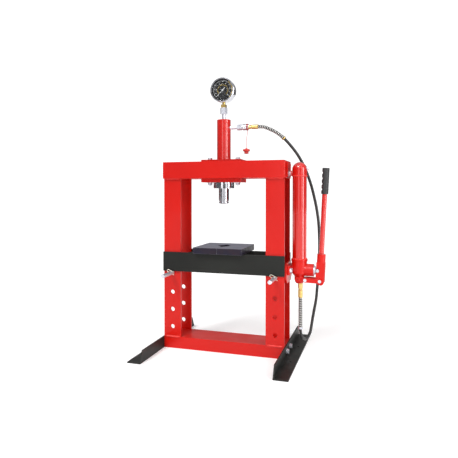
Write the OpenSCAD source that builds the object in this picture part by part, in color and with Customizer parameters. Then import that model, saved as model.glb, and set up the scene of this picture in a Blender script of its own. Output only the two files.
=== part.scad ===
// Hydraulic bench press: two-sided upright frame, head beam with ram, hand pump on the right side.
// Millimetres. +X to the right, +Y to the back, +Z up; the origin is on the floor, at the frame's middle.

/* [Frame] */
// Width over the uprights
frame_w = 520; // [420:10:700]
// Depth over the uprights, front to back
frame_d = 126; // [104:2:160]
// Height of the head beam's top
frame_h = 792; // [660:2:960]
// Width of each upright bar
bar_w = 76; // [60:1:92]
// Thickness of each upright bar
bar_t = 8; // [6:0.5:10]
// Height of the base channel
base_h = 50; // [42:1:60]
// Wall of the base channel
base_wall = 6; // [4:0.5:7]
// Height of the two head channels
head_h = 70; // [58:1:84]
// How far the head channels stand out past the uprights
head_over = 12; // [9:1:15]
// Web and flange thickness of the head channels
head_wall = 6; // [5:0.5:7]
// Clear gap between the two head channels
head_gap = 70; // [64:1:84]
// Thickness of the plates that close the head's ends
end_t = 6; // [4:0.5:8]

/* [Feet] */
// Length of each foot angle
foot_l = 566; // [470:2:680]
// Width of the foot's floor leg
foot_w = 56; // [46:1:68]
// Height of the foot's upright leg
foot_h = 48; // [42:1:50]
// Thickness of the foot angle
foot_t = 5; // [4:0.5:6]
// Length of the sloped ends of the upright leg
foot_slope = 26; // [20:1:32]
// Distance between the bench bolt holes along a foot
bench_pitch = 190; // [160:2:230]
// Diameter of the bench bolt holes
bench_d = 11; // [9:0.5:14]

/* [Bed] */
// Height of the bed plates
bed_h = 81; // [70:1:90]
// Thickness of the bed plates
bed_t = 7; // [6:0.5:9]
// Bed top above the floor
bed_top = 411; // [380:1:430]
// Diameter of the bed pins
pin_d = 16; // [13:0.5:19]
// Diameter of the pin holes in the uprights
hole_d = 19; // [18:0.5:24]
// Height of the lowest pin hole
hole_first = 92; // [80:1:96]
// Distance between the lower pin holes
hole_pitch = 74; // [62:1:78]
// How far a pin reaches in front of the bed
pin_reach = 92; // [70:1:110]
// Press plate thickness
plate_t = 25; // [20:1:30]
// Press plate length, front to back
plate_l = 208; // [180:1:220]
// Press plate width
plate_w = 104; // [90:1:108]
// Half width of the notch in each press plate
notch_half = 42; // [34:1:50]
// Depth of the notch in each press plate
notch_deep = 30; // [24:1:36]

/* [Ram] */
// Sideways place of the ram in the head
ram_x = -12; // [-20:1:20]
// Outer diameter of the ram cylinder
ram_d = 58; // [52:1:60]
// Length of the ram cylinder
ram_l = 289; // [270:1:320]
// Diameter of the plunger
plunger_d = 44; // [37:1:46]
// How far the plunger shows below the collar at rest
plunger_out = 65; // [55:1:78]
// Travel of the plunger
ram_stroke = 150; // [120:1:152]
// Outer diameter of the ring nut under the head
collar_d = 88; // [78:1:92]
// Height of the ring nut
collar_h = 25; // [21:1:30]
// Width of the head plates
head_plate_w = 172; // [160:1:200]
// Depth of the head plates
head_plate_d = 90; // [86:1:108]
// Thickness of the upper head plate
upper_t = 9; // [7:0.5:11]
// Thickness of the lower head plate
lower_t = 16; // [13:0.5:19]
// Distance between the two head bolts
head_bolt_pitch = 124; // [112:1:132]

/* [Gauge] */
// Diameter of the gauge bezel
gauge_d = 104; // [87:1:125]
// Depth of the gauge case
gauge_deep = 44; // [38:1:52]
// Gauge centre above the ram's top
gauge_rise = 123; // [118:1:140]

/* [Pump] */
// Pump axis outwards from the uprights
pump_out = 50; // [44:1:60]
// Diameter of the reservoir tube
tank_d = 57; // [48:0.5:64]
// Length of the reservoir between body and cap
tank_l = 335; // [290:1:400]
// Bottom of the pump body above the floor
pump_z = 297; // [250:1:330]
// Diameter of the pump plunger
piston_d = 18; // [15:0.5:21]
// Length of the lever, from its fulcrum to the grip's end
lever_l = 450; // [400:1:540]
// Diameter of the lever tube
lever_d = 20; // [17:0.5:24]
// Outward lean of the lever at rest, in degrees
lever_lean = 2.8; // [1:0.1:5]
// Diameter of the lever's pins
lever_pin_d = 8; // [7:0.5:9.5]

/* [Hidden] */
$fn = 48;

red = "#e0231c";
black = "#262626";
zinc = "#b9bcc4";
chrome = "#d8dadf";
brass = "#c9a24a";
rubber = "#1d1d1f";
plate_grey = "#8c93a8";

fit = 0.05;          // radial clearance of a part that sits in another
run = 0.3;           // clearance between parts that move past each other
swing = 0.08;        // radial clearance of a pin that turns, and of the pump plunger
bolt_d = 10;
bolt_hole = 11;
bolt_af = 17;
head_bolt_d = 12;
head_bolt_af = 18;
foot_bolt_y = 35;    // foot bolts each side of the middle
flange_bolt_y = 34;  // pump flange bolts each side of the middle
bench_in = 26;       // bench holes in from a foot's outer edge
stud_r = 6;
nipple_r = 6;
oil_r = 2.5;         // oil ways
hex_af = 22;
half_w = frame_w / 2;
half_d = frame_d / 2;
bar_x = half_w - bar_w / 2;
head_y = half_d + head_over;
head_z = frame_h - head_h;
flange_w = head_y - head_gap / 2;
bed_bottom = bed_top - bed_h;
pin_z = bed_bottom - pin_d / 2 - fit;
hole = max(hole_d, pin_d + 3);
hole_lift = (hole - pin_d) / 2 - run;
bed_w = frame_w + 3;
bed_y = half_d + run + bed_t;
lower_z = head_z - lower_t;
upper_z = frame_h + upper_t;
cyl_z = lower_z - collar_h;
cyl_top = cyl_z + ram_l;
nose_z = cyl_z - plunger_out;
plunger_r = plunger_d / 2;
cyl_bore = ram_d / 2 - 4;
cyl_cap = 14;
guide_h = 15;
piston_h = 22;
piston_z = cyl_z + guide_h + ram_stroke + 8;
piston_top = piston_z + piston_h;
spring_r = 9;
spring_wire = 1.6;
spring_seat = 3;
hollow_r = 12.5;
spring_low = nose_z + 30;
spring_high = cyl_top - cyl_cap;
gauge_z = cyl_top + gauge_rise;
gauge_front = -28;
gauge_back = gauge_front + gauge_deep;
case_r = gauge_d / 2 - 2;
port_z = cyl_top - 34;
pump_x = half_w + pump_out;
body_h = 88;
body_top = pump_z + body_h;
tank_z = body_top + 10;
stud_z = frame_h - 51;
tank_top = min(tank_l, stud_z - 11 - tank_z); // so that the cap's boss meets its stud
cap_z = tank_z + tank_top;
cap_r = tank_d / 2 + 1.5;
piston_z0 = pump_z + 54;
housing_end = pump_x + 58;
link_x = pump_x + 15;
link_z = pump_z + 15;
fulcrum_x = pump_x + 83;
fulcrum_z = pump_z + 13;
eye_x = fulcrum_x - 9;
pin_r = lever_pin_d / 2;
cheek_in = 10;
cheek_t = 6;
link_t = 5;
bracket_t = 8;
flange_z = pump_z + 54;
clip_tilt = 25;
clip_y = -bed_y - 9;
clip_wire = 1.25;

// Hose. Its shape is at the usual sizes; HOSE is drawn wider or taller, to suit where its ends are, and
// keeps its bend below the pump.
hose_d = 12;
guard_r = 9.5;
coupler_reach = 121; // from the ram's side to the hose's ferrule
hose_x = ram_x + ram_d / 2 + coupler_reach;
hose_low_x = pump_x + 4;
hose_low_z = pump_z - 59;
HOSE_SHAPE = [[138, 0, 936], [159, 1, 935], [185, 5, 925], [212, 11, 911], [237, 18, 891], [257, 26, 870],
    [273, 34, 850], [289, 42, 828], [304, 49, 803], [321, 54, 769], [336, 58, 731], [349, 62, 690],
    [360, 66, 645], [370, 70, 595], [377, 75, 540], [380, 80, 480], [380, 84, 415], [377, 87, 345],
    [372, 89, 280], [366, 92, 215], [358, 94, 170], [351, 95, 130], [346, 92, 96], [342, 81, 73],
    [331, 47, 58], [319, 14, 73], [314, 0, 108], [314, 0, 140], [314, 0, 175], [314, 0, 210], [314, 0, 238]];
hose_first = HOSE_SHAPE[0];
hose_last = HOSE_SHAPE[len(HOSE_SHAPE) - 1];
HOSE = [for (p = HOSE_SHAPE) [
    hose_low_x + (p[0] - hose_last[0]) * (hose_x - hose_low_x) / (hose_first[0] - hose_last[0]),
    p[1],
    hose_low_z + (p[2] - hose_last[2])
        * (p[2] < hose_last[2] ? 1 : (port_z - hose_low_z) / (hose_first[2] - hose_last[2]))]];
// Dust plug's tether, hanging from the ring on the coupler: how far back from the hose, and down from it.
tether_d = 2;
ring_r = 14;
ring_x = hose_x - 48;
plug_x = hose_x - 51;
plug_z = port_z - 88;
TETHER_SHAPE = [[46, 0, 14], [46, 0, 19], [47, 1, 24], [48, 2, 29], [49, 3, 34], [50, 3, 39], [51, 3, 44],
    [52, 3, 49], [52, 3, 54], [52, 2, 59], [52, 2, 65], [51, 1, 71], [51, 1, 77], [51, 0, 83], [51, 0, 88]];
TETHER = [for (p = TETHER_SHAPE) [hose_x - p[0], p[1], port_z - p[2]]];

// ---- Shapes used by several parts ----

// Point on a Catmull-Rom curve through the points p, s from 0 to len(p) - 1.
function along(p, s) = let (i = min(floor(s), len(p) - 2), t = s - i,
    a = p[max(i - 1, 0)], b = p[i], c = p[i + 1], d = p[min(i + 2, len(p) - 1)])
    0.5 * (2 * b + (c - a) * t + (2 * a - 5 * b + 4 * c - d) * t * t + (3 * b - a - 3 * c + d) * t * t * t);
function unit(v) = v / norm(v);
// A ring of n points of radius r about the curve at s; no route here runs along Y.
function ring(p, s, r, n, e = 0.02) = let (last = len(p) - 1,
    t = unit(along(p, min(s + e, last)) - along(p, max(s - e, 0))),
    u = unit(cross(t, [0, 1, 0])), v = cross(t, u), c = along(p, s))
    [for (k = [0 : n - 1]) c + r * (cos(k * 360 / n) * u + sin(k * 360 / n) * v)];

// A solid round tube along a route, with rings at equal steps of the route's parameter.
module swept(p, r, n, rings) {
    last = len(p) - 1;
    points = [for (i = [0 : rings - 1]) each ring(p, i * last / (rings - 1), r, n)];
    sides = [for (i = [0 : rings - 2], k = [0 : n - 1])
        [(i + 1) * n + k, (i + 1) * n + (k + 1) % n, i * n + (k + 1) % n, i * n + k]];
    ends = [[for (k = [0 : n - 1]) k], [for (k = [n - 1 : -1 : 0]) (rings - 1) * n + k]];
    polyhedron(points, concat(sides, ends));
}

module hex(af, h) { cylinder(d = af / cos(30), h = h, $fn = 6); }

// A ring of outer radius ro and inner radius ri.
module tube(ro, ri, h) {
    difference() {
        cylinder(r = ro, h = h);
        translate([0, 0, -1]) cylinder(r = ri, h = h + 2);
    }
}

// Bolt with its head above z = grip and its nut below z = 0, with a washer at each side.
module bolt_set(d, grip, af, head, spare) {
    washer = 2;
    translate([0, 0, grip]) tube(af * 0.6, d / 2 + fit, washer);
    translate([0, 0, -washer]) tube(af * 0.6, d / 2 + fit, washer);
    translate([0, 0, grip + washer]) hex(af, head);
    translate([0, 0, -washer - head - spare]) cylinder(d = d, h = grip + 2 * washer + head + spare);
    difference() {
        translate([0, 0, -washer - head]) hex(af, head);
        translate([0, 0, -washer - head - 1]) cylinder(r = d / 2 + fit, h = head + 2);
    }
}

// ---- Frame ----

module base_channel() {
    color(red) difference() {
        translate([-half_w, -half_d, 0]) cube([frame_w, frame_d, base_h]);
        translate([-half_w + base_wall, -half_d + base_wall, -1])
            cube([frame_w - 2 * base_wall, frame_d - 2 * base_wall, base_h - base_wall + 1]);
        for (s = [-1, 1], y = [-foot_bolt_y, foot_bolt_y]) translate([s * half_w, y, base_h / 2])
            rotate([0, 90, 0]) cylinder(d = bolt_hole, h = 4 * base_wall, center = true);
    }
}

module foot() {
    color(black) difference() {
        translate([half_w, foot_l / 2, 0]) rotate([90, 0, 0]) linear_extrude(foot_l)
            polygon([[0, 0], [foot_w, 0], [foot_w, foot_t], [foot_t, foot_t], [foot_t, foot_h],
                [0, foot_h]]);
        for (s = [-1, 1]) mirror([0, s > 0 ? 1 : 0, 0]) translate([half_w - 1, -foot_l / 2, foot_t])
            rotate([90, 0, 90]) linear_extrude(foot_t + 2)
                polygon([[-1, -0.01], [0, -0.01], [foot_slope, foot_h], [-1, foot_h]]);
        for (y = [-foot_bolt_y, foot_bolt_y]) translate([half_w, y, base_h / 2])
            rotate([0, 90, 0]) cylinder(d = bolt_hole, h = 4 * foot_t, center = true);
        for (s = [-1, 1]) translate([half_w + foot_w - bench_in, s * bench_pitch / 2, -1])
            cylinder(d = bench_d, h = foot_t + 2);
    }
}
module foot_right() { foot(); }
module foot_left() { mirror([1, 0, 0]) foot(); }

module foot_bolts() {
    color(zinc) for (s = [0, 1], y = [-foot_bolt_y, foot_bolt_y]) mirror([s, 0, 0])
        translate([half_w - base_wall, y, base_h / 2]) rotate([0, 90, 0])
            bolt_set(bolt_d, base_wall + foot_t, bolt_af, 7, 3);
}

// One flat upright bar with its row of pin holes; side is -1 or 1, y its front face.
module upright(side, y) {
    color(red) difference() {
        translate([side * bar_x - bar_w / 2, y, base_h]) cube([bar_w, bar_t, head_z - base_h]);
        for (z = [hole_first, hole_first + hole_pitch, hole_first + 2 * hole_pitch, pin_z + hole_lift])
            translate([side * bar_x, y + bar_t / 2, z]) rotate([90, 0, 0])
                cylinder(d = hole, h = 2 * bar_t, center = true);
    }
}
module upright_front_left() { upright(-1, -half_d); }
module upright_back_left() { upright(-1, half_d - bar_t); }
module upright_front_right() { upright(1, -half_d); }
module upright_back_right() { upright(1, half_d - bar_t); }

// Channel along X with its web at the front and its flanges towards the middle.
module head_channel() {
    color(red) difference() {
        translate([-half_w, -head_y, head_z]) cube([frame_w, flange_w, head_h]);
        translate([-half_w - 1, -head_y + head_wall, head_z + head_wall])
            cube([frame_w + 2, flange_w, head_h - 2 * head_wall]);
    }
}
module head_channel_front() { head_channel(); }
module head_channel_back() { mirror([0, 1, 0]) head_channel(); }

module head_end_plates() {
    color(red) for (s = [0, 1]) mirror([s, 0, 0]) difference() {
        union() {
            translate([half_w - end_t, -head_y + head_wall, head_z + head_wall])
                cube([end_t, 2 * (head_y - head_wall), head_h - 2 * head_wall]);
            translate([half_w - end_t, -head_gap / 2, head_z]) cube([end_t, head_gap, head_h]);
        }
        translate([half_w, 0, stud_z]) rotate([0, 90, 0])
            cylinder(r = stud_r + fit, h = 3 * end_t, center = true);
    }
}

// ---- Head plates and ram ----

module head_plate(z, t) {
    color(red) difference() {
        translate([ram_x - head_plate_w / 2, -head_plate_d / 2, z]) cube([head_plate_w, head_plate_d, t]);
        translate([ram_x, 0, z - 1]) cylinder(r = ram_d / 2 + fit, h = t + 2);
        for (s = [-1, 1]) translate([ram_x + s * head_bolt_pitch / 2, 0, z - 1])
            cylinder(d = head_bolt_d + 1, h = t + 2);
    }
}
module head_plate_upper() { head_plate(frame_h, upper_t); }
module head_plate_lower() { head_plate(lower_z, lower_t); }

module head_bolts() {
    color(zinc) for (s = [-1, 1]) translate([ram_x + s * head_bolt_pitch / 2, 0, lower_z])
        bolt_set(head_bolt_d, upper_z - lower_z, head_bolt_af, 8, 3);
}

module ram_cylinder() {
    color(red) translate([ram_x, 0, 0]) difference() {
        translate([0, 0, cyl_z]) cylinder(d = ram_d, h = ram_l);
        translate([0, 0, cyl_z - 1]) cylinder(r = plunger_r + fit, h = guide_h + 2);
        translate([0, 0, cyl_z + guide_h]) cylinder(r = cyl_bore, h = ram_l - guide_h - cyl_cap);
        translate([0, 0, cyl_top - cyl_cap + 2]) cylinder(r = nipple_r + fit, h = cyl_cap);
        translate([0, 0, cyl_top - cyl_cap - 1]) cylinder(r = oil_r, h = cyl_cap);
        translate([0, 0, port_z]) rotate([0, 90, 0]) cylinder(r = nipple_r + fit, h = ram_d);
    }
}

module ram_collar() {
    slots = 8;
    color(chrome) translate([ram_x, 0, cyl_z]) difference() {
        tube(collar_d / 2, ram_d / 2 + fit, collar_h);
        for (i = [0 : slots - 1]) rotate([0, 0, (i + 0.5) * 360 / slots])
            translate([collar_d / 2 - 4, -4, -1]) cube([8, 8, collar_h - 6]);
    }
}

module ram_plunger() {
    r = plunger_r;
    color(chrome) translate([ram_x, 0, 0]) difference() {
        rotate_extrude($fn = 64) polygon([[0, nose_z], [r - 3, nose_z], [r - 1, nose_z + 2],
            [r - 1, nose_z + 7], [r - 3, nose_z + 8], [r - 3, nose_z + 11], [r, nose_z + 12], [r, piston_z],
            [cyl_bore - run, piston_z], [cyl_bore - run, piston_z + 7], [cyl_bore - 3, piston_z + 7],
            [cyl_bore - 3, piston_z + 13], [cyl_bore - run, piston_z + 13], [cyl_bore - run, piston_top],
            [0, piston_top]]);
        translate([0, 0, spring_low]) cylinder(r = hollow_r, h = piston_top);
    }
}

module ram_seal() {
    color(rubber) translate([ram_x, 0, piston_z + 7.1]) tube(cyl_bore - fit, cyl_bore - 3 + fit, 5.8);
}

// Extension spring inside the hollow plunger, hooked to its floor and to the cylinder's top.
module ram_spring() {
    turns = 12;
    steps = 10;
    sides = 6;
    low = spring_low + spring_seat - 0.5;
    high = spring_high - spring_seat + 0.5;
    count = turns * steps;
    points = [for (i = [0 : count], k = [0 : sides - 1]) let (a = i * 360 / steps, b = k * 360 / sides,
        r = spring_r + spring_wire * cos(b), z = low + (high - low) * i / count + spring_wire * sin(b))
        [r * cos(a), r * sin(a), z]];
    faces = [for (i = [0 : count - 1], k = [0 : sides - 1])
        [i * sides + k, i * sides + (k + 1) % sides,
            (i + 1) * sides + (k + 1) % sides, (i + 1) * sides + k]];
    color(zinc) translate([ram_x, 0, 0]) union() {
        polyhedron(points, concat([[for (k = [sides - 1 : -1 : 0]) k]], faces,
            [[for (k = [0 : sides - 1]) count * sides + k]]));
        for (z = [spring_low, spring_high - spring_seat]) translate([0, 0, z])
            cylinder(r = spring_r + 2, h = spring_seat);
    }
}

// ---- Gauge ----

module gauge_nipple() {
    color(zinc) translate([ram_x, 0, cyl_top - cyl_cap + 2]) tube(nipple_r, oil_r, cyl_cap - 2 + 27 + 10);
    color(zinc) translate([ram_x, 0, cyl_top]) tube(8, nipple_r + fit, 25);
}

module gauge_coupling() {
    color(zinc) translate([ram_x, 0, cyl_top + 25]) difference() {
        hex(28, 26);
        translate([0, 0, -1]) cylinder(r = nipple_r + fit, h = 28);
    }
}

module gauge_stem() {
    low = cyl_top + 51;
    color(brass) translate([ram_x, 0, low]) difference() {
        union() {
            translate([-10, -10, 0]) cube([20, 20, 14]);
            cylinder(r = 7, h = gauge_z - 30 - low);
        }
        translate([0, 0, -13]) cylinder(r = oil_r, h = 22);
    }
}

// Local frame of the gauge: +Z points out of its face.
module gauge_place() { translate([ram_x, 0, gauge_z]) rotate([90, 0, 0]) children(); }

module gauge_case() {
    color(chrome) difference() {
        gauge_place() translate([0, 0, -gauge_back]) difference() {
            cylinder(r = case_r, h = gauge_deep - 3);
            translate([0, 0, 2]) cylinder(r = case_r - 2, h = gauge_deep);
        }
        translate([ram_x, 0, gauge_z - gauge_d]) cylinder(r = 7 + fit, h = gauge_d);
    }
}

module gauge_bezel() {
    color(chrome) gauge_place() rotate_extrude() polygon([[case_r + fit, -gauge_front - 12],
        [gauge_d / 2, -gauge_front - 12], [gauge_d / 2, -gauge_front - 2], [gauge_d / 2 - 2, -gauge_front],
        [case_r - 4, -gauge_front], [case_r - 4, -gauge_front - 3 + fit],
        [case_r + fit, -gauge_front - 3 + fit]]);
}

module gauge_dial() {
    color(rubber) gauge_place() translate([0, 0, -gauge_front - 12]) tube(case_r - 2 - fit, 2, 1);
}

module gauge_window() {
    color([0.9, 0.95, 1, 0.3]) gauge_place() translate([0, 0, -gauge_front - 6])
        cylinder(r = case_r - 2 - fit, h = 3);
}

module gauge_pointer() {
    color("white") gauge_place() rotate([0, 0, 135]) union() {
        translate([0, 0, -gauge_front - 9.5]) linear_extrude(0.8)
            polygon([[-2, -14], [2, -14], [1.2, 0], [0.3, 38], [-0.3, 38], [-1.2, 0]]);
        translate([0, 0, -gauge_front - 10]) cylinder(r = 4, h = 1.8);
        translate([0, 0, -gauge_front - 21]) cylinder(r = 1.5, h = 12);
    }
}

module gauge_tube() {
    color(brass) gauge_place() union() {
        rotate([0, 0, -80]) rotate_extrude(angle = 250) translate([26, -8]) square([4, 9]);
        translate([-9, -30, -gauge_back + 2]) cube([18, 12, gauge_deep - 26]);
    }
}

module gauge_movement() {
    color(brass) gauge_place() difference() {
        translate([-9, -24, -gauge_back + gauge_deep - 24]) cube([18, 34, 5]);
        translate([0, 0, -gauge_front - 25]) cylinder(r = 1.5 + fit, h = 8);
    }
}

// ---- Hose port, coupler and hose ----

module port_fitting() {
    start = ram_x + ram_d / 2;
    color(zinc) translate([0, 0, port_z]) rotate([0, 90, 0]) difference() {
        union() {
            translate([0, 0, start - 4]) cylinder(r = nipple_r, h = 30);
            translate([0, 0, start]) cylinder(r = 7.5, h = 30);
            translate([0, 0, start + 30]) hex(hex_af, 22);
        }
        translate([0, 0, start - 5]) cylinder(r = 3, h = 80);
    }
}

module coupler_body() {
    start = ram_x + ram_d / 2 + 52;
    color(chrome) translate([0, 0, port_z]) rotate([0, 90, 0]) difference() {
        translate([0, 0, start]) cylinder(r = 11, h = hose_x - 41 - start);
        translate([0, 0, start - 1]) cylinder(r = 3, h = 80);
    }
}

module coupler_sleeve() {
    start = ram_x + ram_d / 2 + 57;
    color(chrome) translate([0, 0, port_z]) rotate([0, 90, 0]) translate([0, 0, start]) rotate_extrude()
        polygon([[11 + run, 0], [13.5, 0], [14.5, 1], [14.5, 4], [13.5, 5], [13.5, 9], [14.5, 10],
            [14.5, 13], [13.5, 14], [11 + run, 14]]);
}

module dust_plug() {
    color(red) translate([ring_x, 0, port_z]) rotate([0, 90, 0]) tube(ring_r, 11 + fit, 4);
    color(red) translate([plug_x, 0, plug_z]) rotate([180, 0, 0]) rotate_extrude()
        polygon([[0, 0], [4, 0], [5, 3], [13, 4], [14.5, 6], [14.5, 11], [13, 13], [9, 13], [9, 22],
            [8, 23], [0, 23]]);
}

module dust_plug_tether() { color(red) swept(TETHER, tether_d / 2, 8, 15); }

module hose() { color(rubber) swept(HOSE, hose_d / 2, 10, 61); }

module hose_ferrules() {
    body = hose_x - 41;
    color(brass) translate([body, 0, port_z]) rotate([0, 90, 0]) rotate_extrude()
        polygon([[0, 0], [9, 0], [9, 8], [7.5, 9], [7.5, 12], [9.5, 14], [9.5, 38],
            [8.5, 41 - fit], [0, 41 - fit]]);
    color(brass) translate([hose_low_x, 0, hose_low_z]) union() {
        rotate_extrude() polygon([[0, 0], [8.5, 0], [9.5, 3], [9.5, 30], [7.5, 32], [7.5, 36], [0, 36]]);
        translate([0, 0, 36]) hex(17, pump_z - hose_low_z - 36);
        translate([0, 0, 36]) cylinder(r = 6, h = pump_z - hose_low_z - 36 + 8);
    }
}

// Wound wire guards over the first stretch of hose at each end, as plain sleeves.
module hose_guards() {
    color(zinc) translate([hose_low_x, 0, 108]) tube(guard_r, hose_d / 2 + 0.5, hose_low_z - 109);
    color(zinc) guard_sleeve();
}

module guard_sleeve() {
    n = 12;
    rings = 13;
    s0 = 0.08;
    s1 = 4.3;
    step = (s1 - s0) / (rings - 1);
    outer = [for (i = [0 : rings - 1]) each ring(HOSE, s0 + i * step, guard_r, n)];
    inner = [for (i = [0 : rings - 1]) each ring(HOSE, s0 + i * step, hose_d / 2 + 0.9, n)];
    m = rings * n;
    skin = [for (i = [0 : rings - 2], k = [0 : n - 1])
        [(i + 1) * n + k, (i + 1) * n + (k + 1) % n, i * n + (k + 1) % n, i * n + k]];
    bore = [for (f = skin) [m + f[3], m + f[2], m + f[1], m + f[0]]];
    first = [for (k = [0 : n - 1]) [(k + 1) % n, m + (k + 1) % n, m + k, k]];
    e = (rings - 1) * n;
    last = [for (k = [0 : n - 1]) [e + k, m + e + k, m + e + (k + 1) % n, e + (k + 1) % n]];
    polyhedron(concat(outer, inner), concat(skin, bore, first, last));
}

// ---- Bed ----

module bed_plates() {
    color(black) for (s = [0, 1]) mirror([0, s, 0])
        translate([-bed_w / 2, -bed_y, bed_bottom]) cube([bed_w, bed_t, bed_h]);
}

module bed_spacers() {
    thick = 8;
    gap = 3;
    color(black) for (s = [-1, 1])
        translate([s * (half_w - bar_w - gap - thick / 2) - thick / 2, bed_t - bed_y, bed_bottom + 8])
            cube([thick, 2 * (bed_y - bed_t), bed_h - 18]);
}

// Loose press plate with a V notch in its inner edge; side is -1 or 1.
module press_plate(side) {
    color(plate_grey) translate([ram_x, 8, bed_top]) mirror([side < 0 ? 1 : 0, 0, 0]) linear_extrude(plate_t)
        polygon([[0.4, -plate_l / 2], [plate_w, -plate_l / 2], [plate_w, plate_l / 2], [0.4, plate_l / 2],
            [0.4, notch_half], [notch_deep, 0], [0.4, -notch_half]]);
}
module press_plate_left() { press_plate(-1); }
module press_plate_right() { press_plate(1); }

module bed_pin(x) {
    front = -bed_y - pin_reach;
    color(zinc) translate([x, 0, pin_z]) difference() {
        translate([0, front, 0]) rotate([-90, 0, 0]) rotate_extrude() polygon([[0, 0], [pin_d / 2 - 1.5, 0],
            [pin_d / 2, 1.5], [pin_d / 2, bed_y - front + 10], [pin_d / 2 - 3, bed_y - front + 14],
            [0, bed_y - front + 14]]);
        translate([0, clip_y, 0]) rotate([0, 90 + clip_tilt, 0])
            cylinder(r = clip_wire + run, h = 2 * pin_d, center = true);
    }
}
module bed_pin_left() { bed_pin(-bar_x); }
module bed_pin_right() { bed_pin(bar_x); }

// Spring clip: a straight leg through the pin, a round eye, and a leg that lies over the pin.
module pin_clip(x) {
    over = pin_d / 2 + run + clip_wire;
    reach = pin_d / 2 + 8;
    color(brass) translate([x, clip_y, pin_z]) rotate([0, clip_tilt, 0]) union() {
        translate([-reach, 0, 0]) rotate([0, 90, 0]) cylinder(r = clip_wire, h = 2 * reach);
        translate([-reach, 0, over / 2]) rotate([90, 0, 0]) rotate([0, 0, 90])
            rotate_extrude(angle = 180) translate([over / 2, 0]) circle(r = clip_wire);
        translate([-reach, 0, over]) rotate([0, 90, 0]) cylinder(r = clip_wire, h = reach + pin_d / 2 + 2);
    }
}
module pin_clip_left() { pin_clip(-bar_x); }
module pin_clip_right() { pin_clip(bar_x); }

// ---- Pump ----

module pump_brackets() {
    c = 18;
    y = half_d - 3;
    z = 40;
    color(red) difference() {
        translate([half_w, 0, flange_z - 11]) rotate([90, 0, 90]) linear_extrude(bracket_t)
            polygon([[-y, -z + c], [-y + c, -z], [y - c, -z], [y, -z + c], [y, z - c], [y - c, z],
                [-y + c, z], [-y, z - c]]);
        for (s = [-1, 1]) translate([half_w, s * flange_bolt_y, flange_z]) rotate([0, 90, 0])
            cylinder(d = bolt_hole, h = 3 * bracket_t, center = true);
    }
    color(red) difference() {
        translate([half_w, -24, head_z + 4]) cube([bracket_t - 2, 48, head_h - 10]);
        translate([half_w, 0, stud_z]) rotate([0, 90, 0])
            cylinder(r = stud_r + fit, h = 3 * bracket_t, center = true);
    }
}

module pump_bolts() {
    color(zinc) for (s = [-1, 1]) translate([half_w, s * flange_bolt_y, flange_z]) rotate([0, 90, 0])
        bolt_set(bolt_d, bracket_t + 10, bolt_af, 7, 3);
}

module pump_stud() {
    inside = half_w - end_t;
    outside = half_w + bracket_t - 2;
    color(zinc) translate([0, 0, stud_z]) rotate([0, 90, 0]) {
        translate([0, 0, inside - 12]) cylinder(r = stud_r, h = pump_x - cap_r - 1 - inside + 12);
        for (x = [inside - 8, outside]) translate([0, 0, x]) difference() {
            hex(18, 8);
            translate([0, 0, -1]) cylinder(r = stud_r + fit, h = 10);
        }
    }
}

module pump_body() {
    rod_r = piston_d / 2;
    lug_y = cheek_in + cheek_t;
    color(red) difference() {
        union() {
            translate([pump_x, 0, pump_z]) rotate_extrude() polygon([[0, 0], [14, 0], [18, 6], [20, 14],
                [20, 28], [31, 42], [31, body_h], [33, body_h + 2], [33, body_h + 10], [0, body_h + 10]]);
            translate([pump_x, 0, piston_z0]) rotate([0, 90, 0]) cylinder(r = 25, h = housing_end - pump_x);
            translate([half_w + bracket_t, -46, flange_z - 18]) cube([10, 92, 36]);
            translate([half_w + bracket_t, -20, flange_z - 14]) cube([pump_out - bracket_t, 40, 30]);
            translate([pump_x, -lug_y, link_z - 8]) cube([link_x - pump_x + 10, 2 * lug_y, 16]);
            translate([link_x + 10, -lug_y, link_z]) rotate([-90, 0, 0]) cylinder(r = 8, h = 2 * lug_y);
        }
        translate([pump_x - 14, 0, piston_z0]) rotate([0, 90, 0]) cylinder(r = rod_r + swing, h = 100);
        translate([link_x + 10, -40, link_z]) rotate([-90, 0, 0]) cylinder(r = pin_r + swing, h = 80);
        translate([hose_low_x, 0, pump_z - 1]) cylinder(r = nipple_r + fit, h = 10);
        translate([pump_x, 0, pump_z - 1]) cylinder(r = oil_r, h = 60);
        translate([pump_x - 4, -40, pump_z + 18]) rotate([-90, 0, 0]) cylinder(r = 3.58, h = 32);
        for (s = [-1, 1]) translate([half_w, s * flange_bolt_y, flange_z]) rotate([0, 90, 0])
            cylinder(d = bolt_hole, h = 40);
    }
}

module pump_tank() {
    color(red) translate([pump_x, 0, tank_z]) tube(tank_d / 2, tank_d / 2 - 3, tank_top + 14);
}

module pump_cap() {
    dome_z = cap_z + 26;
    color(red) difference() {
        union() {
            translate([pump_x, 0, cap_z]) cylinder(r = cap_r, h = 26);
            translate([pump_x, 0, dome_z]) sphere(r = cap_r);
            translate([half_w + bracket_t + 6, 0, stud_z]) rotate([0, 90, 0]) cylinder(r = 11, h = 14);
        }
        translate([pump_x, 0, cap_z - cap_r]) cylinder(r = tank_d / 2 + fit, h = cap_r + 14);
        translate([pump_x, 0, cap_z + 13]) cylinder(r = cap_r - 4, h = 13);
        translate([pump_x, 0, dome_z]) sphere(r = cap_r - 4);
        translate([half_w + bracket_t, 0, stud_z]) rotate([0, 90, 0])
            cylinder(r = stud_r + fit, h = pump_out - cap_r - 1 - bracket_t);
        translate([pump_x, 0, dome_z + 5]) rotate([0, 90, 0]) cylinder(r = 4.08, h = 2 * cap_r);
    }
}

module filler_plug() {
    color(zinc) translate([pump_x + cap_r - 5, 0, cap_z + 31]) rotate([0, 90, 0]) difference() {
        rotate_extrude() polygon([[0, 0], [4, 0], [4, 5.3], [6.5, 5.3], [6.5, 12], [5.5, 13], [0, 13]]);
        translate([-8, -0.8, 11]) cube([16, 1.6, 4]);
    }
}

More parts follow.
